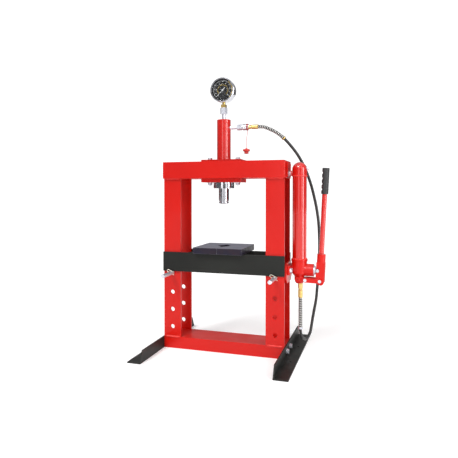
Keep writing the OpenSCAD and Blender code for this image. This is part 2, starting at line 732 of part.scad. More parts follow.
module pump_plunger() {
    r = piston_d / 2;
    color(chrome) difference() {
        union() {
            translate([pump_x - 6, 0, piston_z0]) rotate([0, 90, 0]) cylinder(r = r, h = eye_x - pump_x + 6);
            translate([eye_x, -r, piston_z0]) rotate([-90, 0, 0]) cylinder(r = r, h = 2 * r);
        }
        translate([eye_x, -2 * r, piston_z0]) rotate([-90, 0, 0]) cylinder(r = pin_r + fit, h = 4 * r);
    }
    color(zinc) translate([eye_x, 0, piston_z0]) rotate([90, 0, 0]) {
        cylinder(r = pin_r, h = 2 * (cheek_in + cheek_t + 2), center = true);
        for (s = [0, 1]) mirror([0, 0, s]) translate([0, 0, cheek_in + cheek_t + 0.4])
            cylinder(r = pin_r + 2.5, h = 1.8);
    }
}

module pump_gland() {
    color(zinc) translate([housing_end, 0, piston_z0]) rotate([0, 90, 0]) tube(17, piston_d / 2 + swing, 7);
}

module release_valve() {
    color(red) translate([pump_x - 4, -21, pump_z + 18]) rotate([90, 0, 0]) difference() {
        union() {
            translate([0, 0, -12]) cylinder(r = 3.5, h = 14);
            translate([0, 0, 1]) cylinder(r = 8, h = 10);
        }
        translate([0, 0, 6]) cylinder(r = 3, h = 6, $fn = 6);
    }
}

// ---- Lever ----

module lever_links() {
    y = cheek_in + cheek_t + 0.4;
    color(red) for (s = [0, 1]) mirror([0, s, 0]) translate([0, y, 0]) difference() {
        union() {
            translate([link_x + 10, 0, link_z]) rotate([-90, 0, 0]) cylinder(r = 9, h = link_t);
            translate([fulcrum_x, 0, fulcrum_z]) rotate([-90, 0, 0]) cylinder(r = 9, h = link_t);
            translate([0, link_t, 0]) rotate([90, 0, 0]) linear_extrude(link_t)
                polygon([[link_x + 10, link_z - 9], [fulcrum_x, fulcrum_z - 9], [fulcrum_x, fulcrum_z + 9],
                    [link_x + 10, link_z + 9]]);
        }
        for (p = [[link_x + 10, link_z], [fulcrum_x, fulcrum_z]]) translate([p[0], -1, p[1]])
            rotate([-90, 0, 0]) cylinder(r = pin_r + fit, h = link_t + 2);
    }
}

module lever_pins() {
    y = cheek_in + cheek_t + link_t + 0.4;
    color(zinc) for (p = [[link_x + 10, link_z], [fulcrum_x, fulcrum_z]])
        translate([p[0], 0, p[1]]) rotate([90, 0, 0]) {
            cylinder(r = pin_r, h = 2 * y + 4, center = true);
            for (s = [0, 1]) mirror([0, 0, s]) translate([0, 0, y]) cylinder(r = pin_r + 2.5, h = 2);
        }
}

// Local frame of the lever: its origin at the fulcrum, +Z along the lever.
module lever_place() { translate([fulcrum_x, 0, fulcrum_z]) rotate([0, lever_lean, 0]) children(); }
socket_low = 62;
socket_high = 107;
eye_dx = (eye_x - fulcrum_x) * cos(lever_lean) - (piston_z0 - fulcrum_z) * sin(lever_lean);
eye_dz = (eye_x - fulcrum_x) * sin(lever_lean) + (piston_z0 - fulcrum_z) * cos(lever_lean);

module lever_socket() {
    color(red) lever_place() difference() {
        union() {
            for (s = [0, 1]) mirror([0, s, 0]) translate([0, cheek_in + cheek_t, 0]) rotate([90, 0, 0])
                linear_extrude(cheek_t) polygon([[-17, -2], [-6, -15], [6, -17], [13, -12], [17, -4],
                    [17, socket_low + 12], [-17, socket_low + 12]]);
            translate([0, 0, socket_low]) cylinder(r = 17, h = socket_high - socket_low);
        }
        translate([0, 0, socket_low + 3]) cylinder(r = lever_d / 2 + fit, h = socket_high);
        translate([0, 40, 0]) rotate([90, 0, 0]) cylinder(r = pin_r + swing, h = 80);
        translate([eye_dx - pin_r - 1.3, -40, eye_dz - pin_r - 2.2])
            cube([2 * pin_r + 2.6, 80, 2 * pin_r + 6.2]);
    }
}

module lever_tube() {
    color(red) lever_place() translate([0, 0, socket_low + 3])
        tube(lever_d / 2, lever_d / 2 - 2, lever_l - socket_low - 7);
}

module lever_grip() {
    r = lever_d / 2 + 4.5;
    grip = 104;
    color(rubber) lever_place() difference() {
        translate([0, 0, lever_l - grip]) cylinder(r = r, h = grip);
        translate([0, 0, lever_l - grip - 1]) cylinder(r = lever_d / 2 + fit, h = grip - 3);
        for (i = [0 : 3]) translate([-r - 6, 0, lever_l - grip + 18 + i * 22]) rotate([90, 0, 0])
            cylinder(r = 9, h = 3 * r, center = true);
    }
}

base_channel();
foot_left();
foot_right();
foot_bolts();
upright_front_left();
upright_back_left();
upright_front_right();
upright_back_right();
head_channel_front();
head_channel_back();
head_end_plates();
head_plate_upper();
head_plate_lower();
head_bolts();
ram_cylinder();
ram_collar();
ram_plunger();
ram_seal();
ram_spring();
gauge_nipple();
gauge_coupling();
gauge_stem();
gauge_case();
gauge_bezel();
gauge_dial();
gauge_window();
gauge_pointer();
gauge_tube();
gauge_movement();
port_fitting();
coupler_body();
coupler_sleeve();
dust_plug();
dust_plug_tether();
hose();
hose_ferrules();
hose_guards();
bed_plates();
bed_spacers();
press_plate_left();
press_plate_right();
bed_pin_left();
bed_pin_right();
pin_clip_left();
pin_clip_right();
pump_brackets();
pump_bolts();
pump_stud();
pump_body();
pump_tank();
pump_cap();
filler_plug();
pump_plunger();
pump_gland();
lever_links();
lever_socket();
lever_tube();
lever_grip();
lever_pins();
release_valve();
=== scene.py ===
import bpy
import numpy as np
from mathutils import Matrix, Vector


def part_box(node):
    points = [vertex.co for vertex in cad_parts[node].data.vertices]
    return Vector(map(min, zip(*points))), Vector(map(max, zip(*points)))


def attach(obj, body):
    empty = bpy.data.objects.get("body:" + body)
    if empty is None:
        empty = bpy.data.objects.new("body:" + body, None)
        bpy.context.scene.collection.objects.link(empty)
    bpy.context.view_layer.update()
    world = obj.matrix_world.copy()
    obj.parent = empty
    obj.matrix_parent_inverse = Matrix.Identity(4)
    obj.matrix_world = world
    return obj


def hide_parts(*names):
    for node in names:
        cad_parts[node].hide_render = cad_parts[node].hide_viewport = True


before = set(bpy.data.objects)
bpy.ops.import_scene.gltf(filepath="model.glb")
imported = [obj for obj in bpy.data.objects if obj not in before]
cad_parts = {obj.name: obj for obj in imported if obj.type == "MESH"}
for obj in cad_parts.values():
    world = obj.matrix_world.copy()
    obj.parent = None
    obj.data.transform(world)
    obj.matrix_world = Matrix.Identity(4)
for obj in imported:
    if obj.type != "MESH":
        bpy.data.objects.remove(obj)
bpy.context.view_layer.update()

# ---- Base channel ----
# A length of folded steel channel, open side down, that ties the two legs together.
# It is sprayed with a thick red gloss that rounds every edge; a lighter red along the edges is a painted
# highlight.


def add(tree, kind, inputs=None, **settings):
    """One shader node. settings are its own properties; inputs maps a socket to a value or to an output."""
    made = tree.nodes.new(kind)
    for name, value in settings.items():
        setattr(made, name, value)
    for key, value in (inputs or {}).items():
        if isinstance(value, bpy.types.NodeSocket):
            tree.links.new(value, made.inputs[key])
        else:
            made.inputs[key].default_value = value
    return made


def new_group(name, inputs, outputs):
    """An empty node group with float inputs and named outputs, given as (name, kind) pairs."""
    tree = bpy.data.node_groups.new(name, "ShaderNodeTree")
    for label, value in inputs.items():
        socket = tree.interface.new_socket(label, in_out="INPUT", socket_type="NodeSocketFloat")
        socket.default_value = value
    for label, kind in outputs.items():
        tree.interface.new_socket(label, in_out="OUTPUT", socket_type=kind)
    return tree, tree.nodes.new("NodeGroupInput"), tree.nodes.new("NodeGroupOutput")


def noise_over(tree, place, scale, detail=2.0, roughness=0.5):
    """Noise over the object's own coordinates, finer as the scale goes up."""
    return add(tree, "ShaderNodeTexNoise", {"Vector": place.outputs["Object"], "Scale": scale,
                                            "Detail": detail, "Roughness": roughness})


def made_rounding():
    """Group whose normal is the surface's own, turned smoothly across each edge over the given radius."""
    tree, given, result = new_group("rounded edge", {"Radius": 0.001}, {"Normal": "NodeSocketVector"})
    bevel = add(tree, "ShaderNodeBevel", {"Radius": given.outputs["Radius"]}, samples=4)
    tree.links.new(bevel.outputs["Normal"], result.inputs["Normal"])
    return tree


def made_edge_highlight_and_wear():
    """Group whose Edge mask is high where the rounded normal leaves the flat one, and whose Chips mask is
    that broken up by noise; sprayed paints use the Edge mask for a painted edge highlight.
    """
    tree, given, result = new_group("edge highlight and wear", {"Width": 0.0015, "Grain": 90.0, "Cover": 0.5},
                                    {"Edge": "NodeSocketFloat", "Chips": "NodeSocketFloat"})
    bevel = add(tree, "ShaderNodeBevel", {"Radius": given.outputs["Width"]}, samples=4)
    plain = add(tree, "ShaderNodeNewGeometry")
    match = add(tree, "ShaderNodeVectorMath", {0: bevel.outputs["Normal"], 1: plain.outputs["Normal"]},
                operation="DOT_PRODUCT")
    edge = add(tree, "ShaderNodeMapRange", {0: match.outputs["Value"], 1: 1.0, 2: 0.8, 3: 0.0, 4: 1.0})
    place = add(tree, "ShaderNodeTexCoord")
    noise = noise_over(tree, place, given.outputs["Grain"], 5.0, 0.65)
    lift = add(tree, "ShaderNodeMath", {0: noise.outputs["Fac"], 1: given.outputs["Cover"]},
               operation="ADD")
    broken = add(tree, "ShaderNodeMapRange", {0: lift.outputs[0], 1: 0.9, 2: 1.05, 3: 0.0, 4: 1.0})
    chips = add(tree, "ShaderNodeMath", {0: broken.outputs[0], 1: edge.outputs[0]}, operation="MULTIPLY")
    tree.links.new(edge.outputs[0], result.inputs["Edge"])
    tree.links.new(chips.outputs[0], result.inputs["Chips"])
    return tree


def made_dust():
    """Group whose mask is high on faces that look up, in soft patches."""
    tree, given, result = new_group("settled dust", {"Grain": 14.0, "Cover": 0.5},
                                    {"Dust": "NodeSocketFloat"})
    plain = add(tree, "ShaderNodeNewGeometry")
    split = add(tree, "ShaderNodeSeparateXYZ", {0: plain.outputs["Normal"]})
    upward = add(tree, "ShaderNodeMapRange", {0: split.outputs["Z"], 1: 0.5, 2: 1.0, 3: 0.0, 4: 1.0})
    place = add(tree, "ShaderNodeTexCoord")
    noise = noise_over(tree, place, given.outputs["Grain"], 6.0)
    patch = add(tree, "ShaderNodeMapRange", {0: noise.outputs["Fac"], 1: 0.35, 2: 0.75, 3: 0.0, 4: 1.0})
    both = add(tree, "ShaderNodeMath", {0: upward.outputs[0], 1: patch.outputs[0]}, operation="MULTIPLY")
    dust = add(tree, "ShaderNodeMath", {0: both.outputs[0], 1: given.outputs["Cover"]},
               operation="MULTIPLY")
    tree.links.new(dust.outputs[0], result.inputs["Dust"])
    return tree


def made_skin():
    """Group with the orange peel of sprayed paint as a height, and a slow drift of tone."""
    tree, given, result = new_group("sprayed skin", {"Peel": 700.0, "Drift": 5.0},
                                    {"Height": "NodeSocketFloat", "Tone": "NodeSocketFloat"})
    place = add(tree, "ShaderNodeTexCoord")
    peel = noise_over(tree, place, given.outputs["Peel"], 1.5, 0.4)
    drift = noise_over(tree, place, given.outputs["Drift"], 3.0)
    tree.links.new(peel.outputs["Fac"], result.inputs["Height"])
    tree.links.new(drift.outputs["Fac"], result.inputs["Tone"])
    return tree


ROUNDING, EDGE_HIGHLIGHT_AND_WEAR, DUST, SKIN = made_rounding(), made_edge_highlight_and_wear(), made_dust(), made_skin()


def use(tree, group, inputs=None):
    """A group node in a material, with its own values."""
    made = tree.nodes.new("ShaderNodeGroup")
    made.node_tree = group
    for name, value in (inputs or {}).items():
        made.inputs[name].default_value = value
    return made


def new_material(name, constants):
    """A material with one Principled shader; constants are the values that are the same all over."""
    material = bpy.data.materials.new(name)
    material.use_nodes = True
    shader = material.node_tree.nodes["Principled BSDF"]
    for key, value in constants.items():
        shader.inputs[key].default_value = value
    return material, material.node_tree, shader


def blend_colour(tree, amount, low, high):
    """Mixes two colours, each a plain RGB or an output, by an amount from 0 to 1."""
    made = add(tree, "ShaderNodeMix", data_type="RGBA")
    for index, value in ((0, amount), (6, low), (7, high)):
        if isinstance(value, bpy.types.NodeSocket):
            tree.links.new(value, made.inputs[index])
        else:
            made.inputs[index].default_value = (*value, 1.0) if index else value
    return made.outputs[2]


def spread(tree, source, low, high, start=0.0, stop=1.0):
    """Maps start..stop of a number onto low..high."""
    return add(tree, "ShaderNodeMapRange", {0: source, 1: start, 2: stop, 3: low, 4: high}).outputs[0]


def rough_normal(tree, shader, height, strength, depth, radius):
    """Gives the shader a bumped normal on top of the rounded edges."""
    rounded = use(tree, ROUNDING, {"Radius": radius})
    bump = add(tree, "ShaderNodeBump", {"Height": height, "Strength": strength, "Distance": depth,
                                        "Normal": rounded.outputs["Normal"]})
    tree.links.new(bump.outputs["Normal"], shader.inputs["Normal"])


def sprayed(name, colour, deep, edge_highlight_and_thin_ink, bare, gloss, coat=0.12, shine=0.3, peel=650.0, chip_cover=0.2,
            dust_cover=0.08):
    """Sprayed enamel: colour drifting to deep, lightened towards the edge colour on the edges as a painted
    highlight, chipped to bare, dusty on top.
    """
    material, tree, shader = new_material(name, {"Coat Roughness": 0.06, "Coat IOR": 1.5, "IOR": 1.45,
                                                "Specular IOR Level": shine})
    skin = use(tree, SKIN, {"Peel": peel, "Drift": 4.0})
    wear = use(tree, EDGE_HIGHLIGHT_AND_WEAR, {"Width": 0.0016, "Grain": 120.0, "Cover": chip_cover})
    dust = use(tree, DUST, {"Grain": 16.0, "Cover": dust_cover})
    body = blend_colour(tree, spread(tree, skin.outputs["Tone"], 0.0, 1.0, 0.35, 0.7), colour, deep)
    # Lightening the edges towards the edge colour paints a highlight along them; the chips to bare below
    # are wear.
    edged = blend_colour(tree, spread(tree, wear.outputs["Edge"], 0.0, 0.4), body, edge_highlight_and_thin_ink)
    chipped = blend_colour(tree, wear.outputs["Chips"], edged, bare)
    dusty = blend_colour(tree, dust.outputs["Dust"], chipped, (0.56, 0.5, 0.46))
    tree.links.new(dusty, shader.inputs["Base Color"])
    tree.links.new(spread(tree, skin.outputs["Tone"], gloss, gloss + 0.1), shader.inputs["Roughness"])
    tree.links.new(spread(tree, wear.outputs["Chips"], coat, 0.0), shader.inputs["Coat Weight"])
    rough_normal(tree, shader, skin.outputs["Height"], 0.12, 0.0003, 0.0011)
    return material


# The lighter red edge colour is a painted highlight along the edges.
red_paint = sprayed("red_gloss", (0.56, 0.005, 0.001), (0.50, 0.004, 0.001), (0.80, 0.033, 0.020),
                    (0.16, 0.13, 0.12), 0.3)


def dress(material, *nodes):
    """Puts a finish on CAD nodes, whose shape is already right."""
    for name in nodes:
        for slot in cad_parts[name].material_slots:
            slot.material = material


dress(red_paint, "base_channel")

# ---- Uprights ----
# Four flat steel bars with a row of pin holes, front and back at each side. They stand on the
# base channel and are welded to it along their feet, with the bead painted over.

UPRIGHTS = ("upright_front_left", "upright_back_left", "upright_front_right", "upright_back_right")
dress(red_paint, *UPRIGHTS)


def surface(name, grid, material, body, looped=False):
    """A closed mesh from rows of points, each row going round it.

    Neighbours in a row and between rows make the faces. looped joins the last row to the first; otherwise
    each end is closed with one face. All is turned, if its volume comes out negative, to face outwards.
    """
    rows, across = grid.shape[:2]
    points = grid.reshape(-1, 3)
    i, k = np.meshgrid(np.arange(rows if looped else rows - 1), np.arange(across), indexing="ij")
    row, next_row, after = i * across, (i + 1) % rows * across, (k + 1) % across
    quads = np.stack([row + k, row + after, next_row + after, next_row + k], -1).reshape(-1, 4)
    first, second = points[quads[:, 0]], points[quads[:, 1]]
    third, fourth = points[quads[:, 2]], points[quads[:, 3]]
    shift = points.mean(0)
    volume = (np.cross(first - shift, second - shift) * (third - shift)).sum()
    volume += (np.cross(first - shift, third - shift) * (fourth - shift)).sum()
    turn = volume < 0
    faces = (quads[:, ::-1] if turn else quads).tolist()
    if not looped:
        ends = [np.arange(across)[::-1], (rows - 1) * across + np.arange(across)]
        faces += [(end[::-1] if turn else end).tolist() for end in ends]
    mesh = bpy.data.meshes.new(name)
    mesh.from_pydata(points.tolist(), [], faces)
    mesh.polygons.foreach_set("use_smooth", np.ones(len(faces), bool))
    mesh.materials.append(material)
    mesh.update()
    made = bpy.data.objects.new(name, mesh)
    bpy.context.scene.collection.objects.link(made)
    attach(made, body)
    return made


# The beads carry the frame's red paint, drawn lighter and more orange than the flat red with pale pink
# edges: a painted highlight on their glossy ripples.
highlit_weld_paint = sprayed("weld_gloss_painted_highlight", (0.72, 0.035, 0.028), (0.66, 0.022, 0.018), (0.95, 0.40, 0.36),
                     (0.45, 0.40, 0.40), 0.2, chip_cover=0.36)


def run_of(line):
    """Distance travelled along a line at each of its points."""
    return np.concatenate([[0.0], np.cumsum(np.linalg.norm(np.diff(line, axis=0), axis=1))])


def between(s, run, values):
    """Points known at each distance in run, read off at the distances s."""
    return np.stack([np.interp(s, run, values[:, axis]) for axis in range(3)], -1)


def unit(rows):
    """Each row of three numbers, made one long."""
    return rows / np.linalg.norm(rows, axis=1)[:, None]


def weld_bead(name, path, out, width, height, body="frame", pitch=0.0034, closed=False):
    """A ripple-faced weld bead along a path.

    Its section is an ellipse, width across and height outwards. The height follows a rectified sine along
    the path, bent back at the sides so that the ripples are crescents, with two slow waves so that no
    two runs are the same. Both ends taper to the width's own round, unless the bead closes on itself;
    then every wave has a whole number of turns in the run.
    """
    run = run_of(path)
    ripples = round(run[-1] / pitch)
    s = np.linspace(0.0, run[-1], ripples * 6, endpoint=not closed)
    line = between(s, run, path)
    outward = unit(between(s, run, out))
    side = np.cross(unit(np.gradient(line, axis=0)), outward)
    angle = np.linspace(0.0, 2 * np.pi, 14, endpoint=False)
    u, a = s[:, None], angle[None, :]
    turns = 2 * np.pi * u / run[-1]
    ripple = np.abs(np.sin(turns * ripples / 2 + 0.4 * np.pi * width / pitch * np.cos(a) ** 2))
    slow = 0.1 * np.sin(turns * round(ripples / 6)) + 0.08 * np.sin(turns * round(ripples / 19) + 1.3)
    end = np.minimum(u, run[-1] - u)
    taper = 1.0 if closed else np.sqrt(np.clip(end / width, 0.0004, 1.0))
    high = height * (0.72 + 0.28 * ripple + slow) * taper
    wide = width / 2 * (0.95 + 0.05 * ripple + 0.5 * slow) * taper
    grid = line[:, None] + (wide * np.cos(a))[..., None] * side[:, None]
    grid += (high * np.sin(a))[..., None] * outward[:, None]
    surface(name, grid, highlit_weld_paint, body, looped=closed)


def straight(start, end):
    """Two points as a path."""
    return np.array([start, end], float)


def steady(direction):
    """The same outward direction at both ends of a straight path."""
    return np.array([direction, direction], float)


fillet_w, fillet_h, fillet_inset = 0.0095, 0.0036, 0.004
for name in UPRIGHTS:
    low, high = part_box(name)
    y, turned = (low.y, -1.0) if "front" in name else (high.y, 1.0)
    for end, z, slope in (("foot", low.z, 1.0), ("head", high.z, -1.0)):
        edge = straight((low.x + fillet_inset, y, z), (high.x - fillet_inset, y, z))
        weld_bead(f"{name}_{end}_weld", edge, steady((0.0, turned, slope)), fillet_w, fillet_h)

# ---- Feet ----
# Two steel angles with sloped ends, bolted to the base's ends. They are sprayed satin black.

# Its lighter grey edge colour is a painted highlight along the black edges.
black_paint = sprayed("black_satin", (0.016, 0.017, 0.015), (0.010, 0.010, 0.009), (0.085, 0.085, 0.08),
                      (0.24, 0.23, 0.22), 0.42, coat=0.04, shine=0.22, peel=520.0, chip_cover=0.3,
                      dust_cover=0.04)
dress(black_paint, "foot_left", "foot_right")

# ---- Foot bolts ----
# Plain hexagon bolts with a washer and nut, bright zinc plated, which clouds and spots with handling.


def plated(name, bright, dull, gloss, solid=1.0, cloud=60.0, fine=1800.0, depth=0.00006, radius=0.0007):
    """Plated metal: two tones in clouds, roughness drifting with them, and a fine grain.

    solid is how metallic it is; a passivated coat, which is milky, is less so.
    """
    material, tree, shader = new_material(name, {"Metallic": solid, "IOR": 1.45})
    place = add(tree, "ShaderNodeTexCoord")
    clouds = noise_over(tree, place, cloud, 6.0, 0.62)
    grain = noise_over(tree, place, fine, 2.0)
    wear = use(tree, EDGE_HIGHLIGHT_AND_WEAR, {"Width": radius * 1.4, "Grain": 260.0, "Cover": 0.5})
    tone = blend_colour(tree, spread(tree, clouds.outputs["Fac"], 0.0, 1.0, 0.3, 0.7), bright, dull)
    edged = blend_colour(tree, spread(tree, wear.outputs["Edge"], 0.0, 0.5), tone, (0.93, 0.93, 0.94))
    tree.links.new(edged, shader.inputs["Base Color"])
    tree.links.new(spread(tree, clouds.outputs["Fac"], gloss, gloss + 0.14, 0.3, 0.7),
                   shader.inputs["Roughness"])
    rough_normal(tree, shader, grain.outputs["Fac"], 0.2, depth, radius)
    return material


zinc = plated("bright_zinc", (0.78, 0.79, 0.86), (0.60, 0.62, 0.69), 0.24, solid=0.7)
dress(zinc, "foot_bolts")

# ---- Head channels and end plates ----
# Two channels back to back span the legs, with a plate welded into each end. The vertical seams
# at the ends are welded by hand, in a zigzag that shows through the paint.

dress(red_paint, "head_channel_front", "head_channel_back", "head_end_plates")
channel_low, channel_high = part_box("head_channel_front")
seam_inset = 0.006
seam_y = -channel_low.y - seam_inset
seam_w, seam_h, seam_pitch = 0.0062, 0.0026, 0.003
seam_sway, seam_turns = 0.0022, 7


def zigzag(x, y, low, high, sway, turns):
    """A seam that climbs from low to high while it swings from side to side as a triangle wave."""
    t = np.linspace(0.0, 1.0, 4 * turns + 1)
    swing = sway * (2 / np.pi) * np.arcsin(np.sin(2 * np.pi * turns * t))
    return np.stack([np.full_like(t, x), y + swing, low + (high - low) * t], -1)


for side_name, x in (("left", channel_low.x), ("right", channel_high.x)):
    for face_name, y in (("front", -seam_y), ("back", seam_y)):
        seam = zigzag(x, y, channel_low.z + seam_inset, channel_high.z - seam_inset, seam_sway,
                      seam_turns)
        direction = np.tile([np.sign(x), 0.0, 0.0], (len(seam), 1))
        weld_bead(f"head_seam_{face_name}_{side_name}", seam, direction, seam_w, seam_h, pitch=seam_pitch)

# ---- Head plates and bolts ----
# A plate above and one below the channels, drawn together by two long bolts, carry the ram.
# The lower plate is sawn from thick bar.

dress(red_paint, "head_plate_upper", "head_plate_lower")
dress(zinc, "head_bolts")


def screw_thread(name, start, axis, length, radius, pitch, material, body):
    """A 60 degree thread sleeve: the radius is a triangle wave of the height less the turn."""
    forward = np.array(axis, float)
    helper = np.array([0.0, 0.0, 1.0]) if abs(forward[2]) < 0.9 else np.array([1.0, 0.0, 0.0])
    side = np.cross(forward, helper)
    side /= np.linalg.norm(side)
    up = np.cross(forward, side)
    s = np.linspace(0.0, length, int(length / pitch * 8) + 2)[:, None]
    a = np.linspace(0.0, 2 * np.pi, 28, endpoint=False)[None, :]
    wave = np.abs(((s / pitch - a / (2 * np.pi)) % 1.0) * 2 - 1)
    r = radius - 0.55 * pitch * wave
    spoke = np.cos(a)[..., None] * side + np.sin(a)[..., None] * up
    grid = np.array(start) + s[..., None] * forward + r[..., None] * spoke
    surface(name, grid, material, body)


bolt_low, bolt_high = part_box("head_bolts")
bolt_mid = (bolt_low.x + bolt_high.x) / 2
bolt_out, bolt_r, bolt_pitch, stub, tip_gap = 0.062, 0.0061, 0.0015, 0.0042, 0.0002
for side_name, sign in (("left", -1), ("right", 1)):
    tip = (bolt_mid + sign * bolt_out, 0.0, bolt_low.z - tip_gap)
    screw_thread(f"head_bolt_thread_{side_name}", tip, (0, 0, 1), stub, bolt_r, bolt_pitch, zinc, "frame")

# ---- Ram ----
# A red steel cylinder held by a slotted ring nut, with a hard chromed plunger that runs out of it
# against a spring. The chrome is ground and polished round the axis, so it has faint turned lines.

# As on the flat red, its lighter red edge colour is a painted highlight.
tube_paint = sprayed("red_tube_gloss", (0.56, 0.005, 0.001), (0.50, 0.004, 0.001), (0.80, 0.033, 0.020),
                     (0.16, 0.13, 0.12), 0.22, coat=0.95, shine=0.5, dust_cover=0.04)
dress(tube_paint, "ram_cylinder")


def turned_chrome(name, tint, gloss, axis, centre):
    """Polished chrome with fine lines turned about an axis and a few dull handling marks."""
    material, tree, shader = new_material(name, {"Metallic": 1.0})
    place = add(tree, "ShaderNodeTexCoord")
    moved = add(tree, "ShaderNodeMapping", {0: place.outputs["Object"], 1: tuple(-centre)})
    split = add(tree, "ShaderNodeSeparateXYZ", {0: moved.outputs[0]})
    lines = add(tree, "ShaderNodeTexNoise", {"W": split.outputs[axis], "Scale": 2600.0, "Detail": 3.0},
                noise_dimensions="1D")
    marks = add(tree, "ShaderNodeTexNoise", {"Vector": moved.outputs[0], "Scale": 45.0, "Detail": 7.0,
                                             "Roughness": 0.7})
    smudge = spread(tree, marks.outputs["Fac"], 0.0, 1.0, 0.45, 0.8)
    tree.links.new(blend_colour(tree, smudge, tint, tuple(0.8 * c for c in tint)),
                   shader.inputs["Base Color"])
    tree.links.new(spread(tree, marks.outputs["Fac"], gloss, gloss + 0.16, 0.4, 0.85),
                   shader.inputs["Roughness"])
    rough_normal(tree, shader, lines.outputs["Fac"], 0.12, 0.00005, 0.0008)
    return material


def middle(node):
    """Centre of a CAD node's box, in metres."""
    low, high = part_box(node)
    return (np.array(low) + np.array(high)) / 2


ram_axis = middle("ram_cylinder")
ram_chrome = turned_chrome("ram_chrome", (0.60, 0.60, 0.64), 0.1, 2, ram_axis)
dress(ram_chrome, "ram_plunger", "ram_collar")
dress(zinc, "ram_spring")


def moulded(name, colour, gloss, pits, depth):
    """Moulded rubber or plastic: fine pits and slow changes of shine."""
    material, tree, shader = new_material(name, {"IOR": 1.5})
    place = add(tree, "ShaderNodeTexCoord")
    fine = noise_over(tree, place, pits, 4.0)
    slow = noise_over(tree, place, 22.0, 4.0)
    lighter = tuple(min(1.0, 1.7 * c + 0.008) for c in colour)
    tone = blend_colour(tree, spread(tree, slow.outputs["Fac"], 0.0, 1.0, 0.4, 0.75), colour, lighter)
    wear = use(tree, EDGE_HIGHLIGHT_AND_WEAR, {"Width": 0.0012, "Grain": 200.0, "Cover": 0.35})
    edged = blend_colour(tree, spread(tree, wear.outputs["Edge"], 0.0, 0.35), tone, lighter)
    tree.links.new(edged, shader.inputs["Base Color"])
    tree.links.new(spread(tree, slow.outputs["Fac"], gloss, gloss + 0.18, 0.3, 0.8),
                   shader.inputs["Roughness"])
    rough_normal(tree, shader, fine.outputs["Fac"], 0.35, depth, 0.0008)
    return material


rubber = moulded("black_rubber", (0.012, 0.012, 0.013), 0.42, 1500.0, 0.00012)
dress(rubber, "ram_seal")

# ---- Gauge ----
# A glycerine gauge on a brass stem, screwed into a zinc coupling on the ram's head. Its case and
# rolled bezel are polished stainless; inside are the dial, a bent tube and a small movement.

gauge_mid = middle("gauge_case")
dial_low, dial_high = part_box("gauge_dial")
gauge_x, gauge_z = (dial_low.x + dial_high.x) / 2, (dial_low.z + dial_high.z) / 2
dial_y = dial_low.y
dial_r = (dial_high.x - dial_low.x) / 2
steel_case = turned_chrome("gauge_steel", (0.62, 0.62, 0.66), 0.14, 1, gauge_mid)
dress(steel_case, "gauge_case", "gauge_bezel")
dress(zinc, "gauge_nipple", "gauge_coupling")
brass = plated("turned_brass", (0.80, 0.58, 0.22), (0.62, 0.42, 0.14), 0.2, cloud=90.0, depth=0.00005)
dress(brass, "gauge_stem", "gauge_tube", "gauge_movement")
dial_black = moulded("dial_lacquer", (0.012, 0.012, 0.013), 0.5, 2500.0, 0.00002)
dress(dial_black, "gauge_dial")


def printed(name, colour):
    """Screen-printed ink, a little uneven where the mesh left it thin."""
    material, tree, shader = new_material(name, {"IOR": 1.45})
    place = add(tree, "ShaderNodeTexCoord")
    ink = noise_over(tree, place, 1400.0, 3.0)
    edge_highlight_and_thin_ink = tuple(0.8 * c for c in colour)
    tree.links.new(blend_colour(tree, spread(tree, ink.outputs["Fac"], 0.0, 1.0, 0.4, 0.7), colour, edge_highlight_and_thin_ink),
                   shader.inputs["Base Color"])
    tree.links.new(spread(tree, ink.outputs["Fac"], 0.45, 0.6), shader.inputs["Roughness"])
    bump = add(tree, "ShaderNodeBump", {"Height": ink.outputs["Fac"], "Strength": 0.1, "Distance": 0.00002})
    tree.links.new(bump.outputs["Normal"], shader.inputs["Normal"])
    return material


white_ink = printed("dial_white_ink", (0.82, 0.82, 0.80))
gold_ink = printed("dial_gold_ink", (0.75, 0.52, 0.12))
dress(white_ink, "gauge_pointer")


def on_dial(radius, turn, lift=0.00012):
    """Points on the dial's face. turn runs clockwise from straight up, in degrees."""
    a = np.radians(turn)
    return np.stack([gauge_x + radius * np.sin(a), np.full_like(a, dial_y - lift),
                     gauge_z + radius * np.cos(a)], -1)


def put_on_dial(name, points, faces, material):
    """A mesh of flat faces in one ink, fixed to the frame as the dial is."""
    mesh = bpy.data.meshes.new(name)
    mesh.from_pydata(points.tolist(), [], faces)
    mesh.materials.append(material)
    mesh.update()
    made = bpy.data.objects.new(name, mesh)
    bpy.context.scene.collection.objects.link(made)
    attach(made, "frame")


def flat_faces(name, corners, material):
    """Separate four-cornered faces, given as an array of shape (faces, 4, 3)."""
    faces = np.arange(len(corners) * 4).reshape(-1, 4).tolist()
    put_on_dial(name, corners.reshape(-1, 3), faces, material)


def ticks(turns, inner, outer, half_width):
    """One thin quad for each angle, from the inner to the outer radius, as wide at both ends."""
    lean_in, lean_out = np.degrees(half_width / inner), np.degrees(half_width / outer)
    return np.stack([on_dial(inner, turns - lean_in), on_dial(inner, turns + lean_in),
                     on_dial(outer, turns + lean_out), on_dial(outer, turns - lean_out)], 1)


def arc(start, stop, inner, outer, count):
    """A printed ring sector, cut into short quads."""
    edge = np.linspace(start, stop, count + 1)
    return np.stack([on_dial(inner, edge[:-1]), on_dial(inner, edge[1:]),
                     on_dial(outer, edge[1:]), on_dial(outer, edge[:-1])], 1)


sweep = 135.0
scale_r = dial_r * 0.84
fine_turns = np.linspace(-sweep, sweep, 51)
flat_faces("dial_ticks", np.concatenate([
    ticks(fine_turns, scale_r - 0.0032, scale_r, 0.00032),
    ticks(fine_turns[::5], scale_r - 0.0062, scale_r, 0.0007),
    arc(-sweep, 45.0, scale_r, scale_r + 0.0007, 60)]), white_ink)
flat_faces("dial_gold_band", np.concatenate([
    arc(35.0, sweep, scale_r, scale_r + 0.0026, 40),
    ticks(np.linspace(-sweep, sweep, 31), scale_r - 0.0185, scale_r - 0.0160, 0.0005),
    arc(-sweep, sweep, scale_r - 0.0190, scale_r - 0.0186, 90)]), gold_ink)


